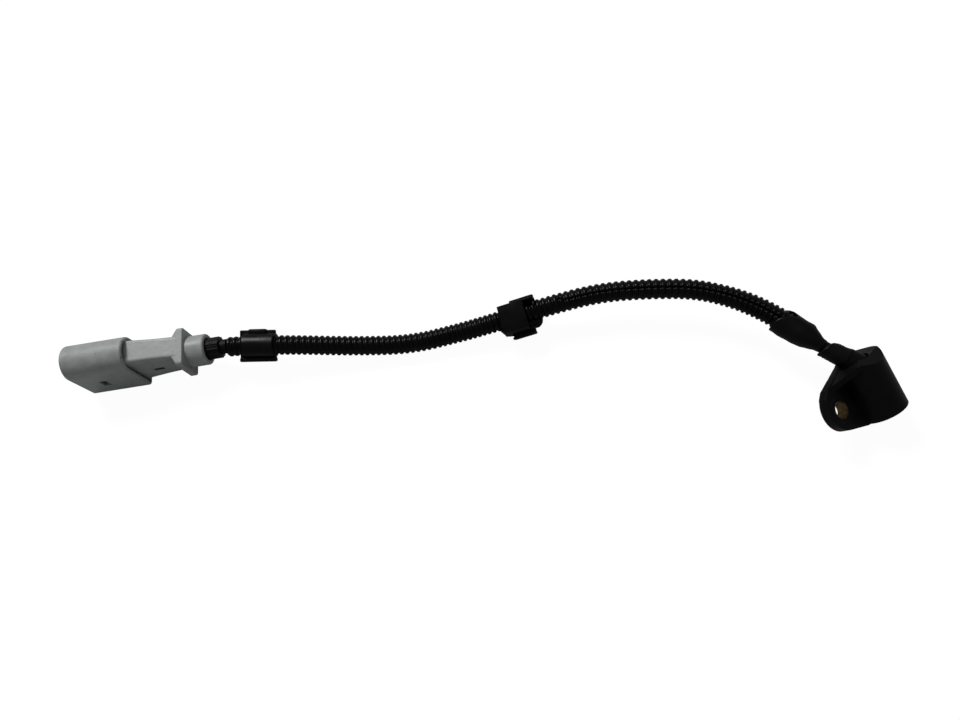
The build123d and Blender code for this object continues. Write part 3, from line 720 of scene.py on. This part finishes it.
ARCH = [(5.35, 0), (5.35, 5.2), (-5.6, 5.2), (-6.9, 2.3), (-6.9, 0)]
ARCH_TURNS = [math.radians(turn) for turn in range(0, 181, 15)]
ARCH += [(-CLIP_BORE * math.cos(turn), CLIP_BORE * math.sin(turn)) for turn in ARCH_TURNS]
ARCH_START = -7.2
ARCH_END = 3.0
NEAR_WALL = [
    (-9.2, -3.3), (-9.0, -4.1), (-7.1, -6.85), (-5.2, -7.25), (-4.4, -7.2), (-4.2, -6.8), (6.0, -6.8),
    (7.0, -6.2), (7.8, -5.4), (8.3, -4.1), (8.3, -3.3),
]
WALL_FOOT = -5.0
WALL_TOP = 0.1
EDGE_BLOCKS = {
    "near upstand": ((-7.2, 6.2), (-6.85, -6.0), (0, 2.2), 0.25),
    "far wall": ((-7.2, 7.3), (4.6, 5.35), (-5.0, 5.2), 0.3),
    "far rib": ((-2.3, 7.4), (5.2, 6.3), (-2.0, 2.5), 0.4),
    "floor": ((-7.2, 7.3), (-5.6, 5.35), (-5.6, -4.1), 0.3),
    "lip": ((-4.8, 4.6), (-9.0, -7.9), (-5.9, 2.0), 0.45),
    "web to the lip": ((-4.6, 4.5), (-8.4, -6.4), (-5.4, -0.8), 0.3),
}
EDGE_ROUNDING = 0.25
edge_clamp = bmesh.new()
plate(edge_clamp, ARCH, ARCH_START, ARCH_END, EDGE_ROUNDING, ALONG)
plate(edge_clamp, NEAR_WALL, WALL_FOOT, WALL_TOP, EDGE_ROUNDING)
for block in EDGE_BLOCKS.values():
    slab(edge_clamp, *block)
bmesh.ops.transform(edge_clamp, matrix=clip_place(EDGE_RUN), verts=edge_clamp.verts)
edge_clip = piece("edge_clip", edge_clamp, clip_black, CRISP)
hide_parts("lead_clip_2")

# A list of the pieces on the cable, and places along the lead that are worked out but not kept

ON_CABLE = ["cable_neck", "plug_housing", "terminal_lock", "wire_seal", "seal_boot"]
ON_CABLE += [f"blade_pin_{number}" for number in (1, 2, 3)]
LEAD.point(from_head(7.0))
LEAD.point(CONDUIT_END * MM)
LEAD.path(CONDUIT_START * MM, CONDUIT_END * MM)

# Table, plain and pale

FLOOR_SIZE = 6.0
TABLE_TINT = (0.42, 0.42, 0.42)
TABLE_GLOW = 1.2
GLOW_SHARE = 0.8
WHITE = (1, 1, 1, 1)

top = bmesh.new()
bmesh.ops.create_grid(top, x_segments=8, y_segments=8, size=FLOOR_SIZE / 2)
floor_mesh = bpy.data.meshes.new("table_top")
top.to_mesh(floor_mesh)
top.free()
floor = bpy.data.objects.new("table_top", floor_mesh)
bpy.context.scene.collection.objects.link(floor)


def pale_table():
    """To the camera it is nearly white, and as a source of bounced light and reflections it is dimmer."""
    finish = Finish("table_white", TABLE_TINT, 0.8, Specular_IOR_Level=0.0)
    nodes, links = finish.nodes, finish.links
    ray = nodes.new("ShaderNodeLightPath")
    share = finish.worked("MULTIPLY", ray.outputs["Is Camera Ray"], GLOW_SHARE)
    glow = nodes.new("ShaderNodeEmission")
    glow.inputs["Color"].default_value = WHITE
    glow.inputs["Strength"].default_value = TABLE_GLOW
    mix = nodes.new("ShaderNodeMixShader")
    links.new(share, mix.inputs["Fac"])
    links.new(finish.shader.outputs["BSDF"], mix.inputs[1])
    links.new(glow.outputs["Emission"], mix.inputs[2])
    links.new(mix.outputs["Shader"], nodes["Material Output"].inputs["Surface"])
    return finish.material


floor_mesh.materials.append(pale_table())

# Light: one soft lamp above the far left, and an even pale surrounding that the camera sees as white

LAMP_CENTRE = metres(-130, 30, 10)
LAMP_DIRECTION = Vector((-0.34, 0.60, 0.72)).normalized()
LAMP_DISTANCE = 1.2
SURROUNDING_LIGHT = 0.22
SURROUNDING_SEEN = 1.0

lamp_data = bpy.data.lights.new("key_lamp", "AREA")
lamp_data.shape = "DISK"
lamp_data.size = 0.4
lamp_data.energy = 10.0
lamp = bpy.data.objects.new("key_lamp", lamp_data)
lamp.location = LAMP_CENTRE + LAMP_DIRECTION * LAMP_DISTANCE
lamp.rotation_euler = LAMP_DIRECTION.to_track_quat("Z", "Y").to_euler()
bpy.context.scene.collection.objects.link(lamp)

world = bpy.data.worlds.new("surrounding")
bpy.context.scene.world = world
world.use_nodes = True
world_nodes, world_links = world.node_tree.nodes, world.node_tree.links
lit_sky = world_nodes["Background"]
seen_sky = world_nodes.new("ShaderNodeBackground")
for sky, strength in ((lit_sky, SURROUNDING_LIGHT), (seen_sky, SURROUNDING_SEEN)):
    sky.inputs["Color"].default_value = WHITE
    sky.inputs["Strength"].default_value = strength
ray = world_nodes.new("ShaderNodeLightPath")
choose = world_nodes.new("ShaderNodeMixShader")
world_links.new(ray.outputs["Is Camera Ray"], choose.inputs["Fac"])
world_links.new(lit_sky.outputs[0], choose.inputs[1])
world_links.new(seen_sky.outputs[0], choose.inputs[2])
world_links.new(choose.outputs[0], world_nodes["World Output"].inputs["Surface"])

bpy.context.scene.view_settings.view_transform = "Standard"
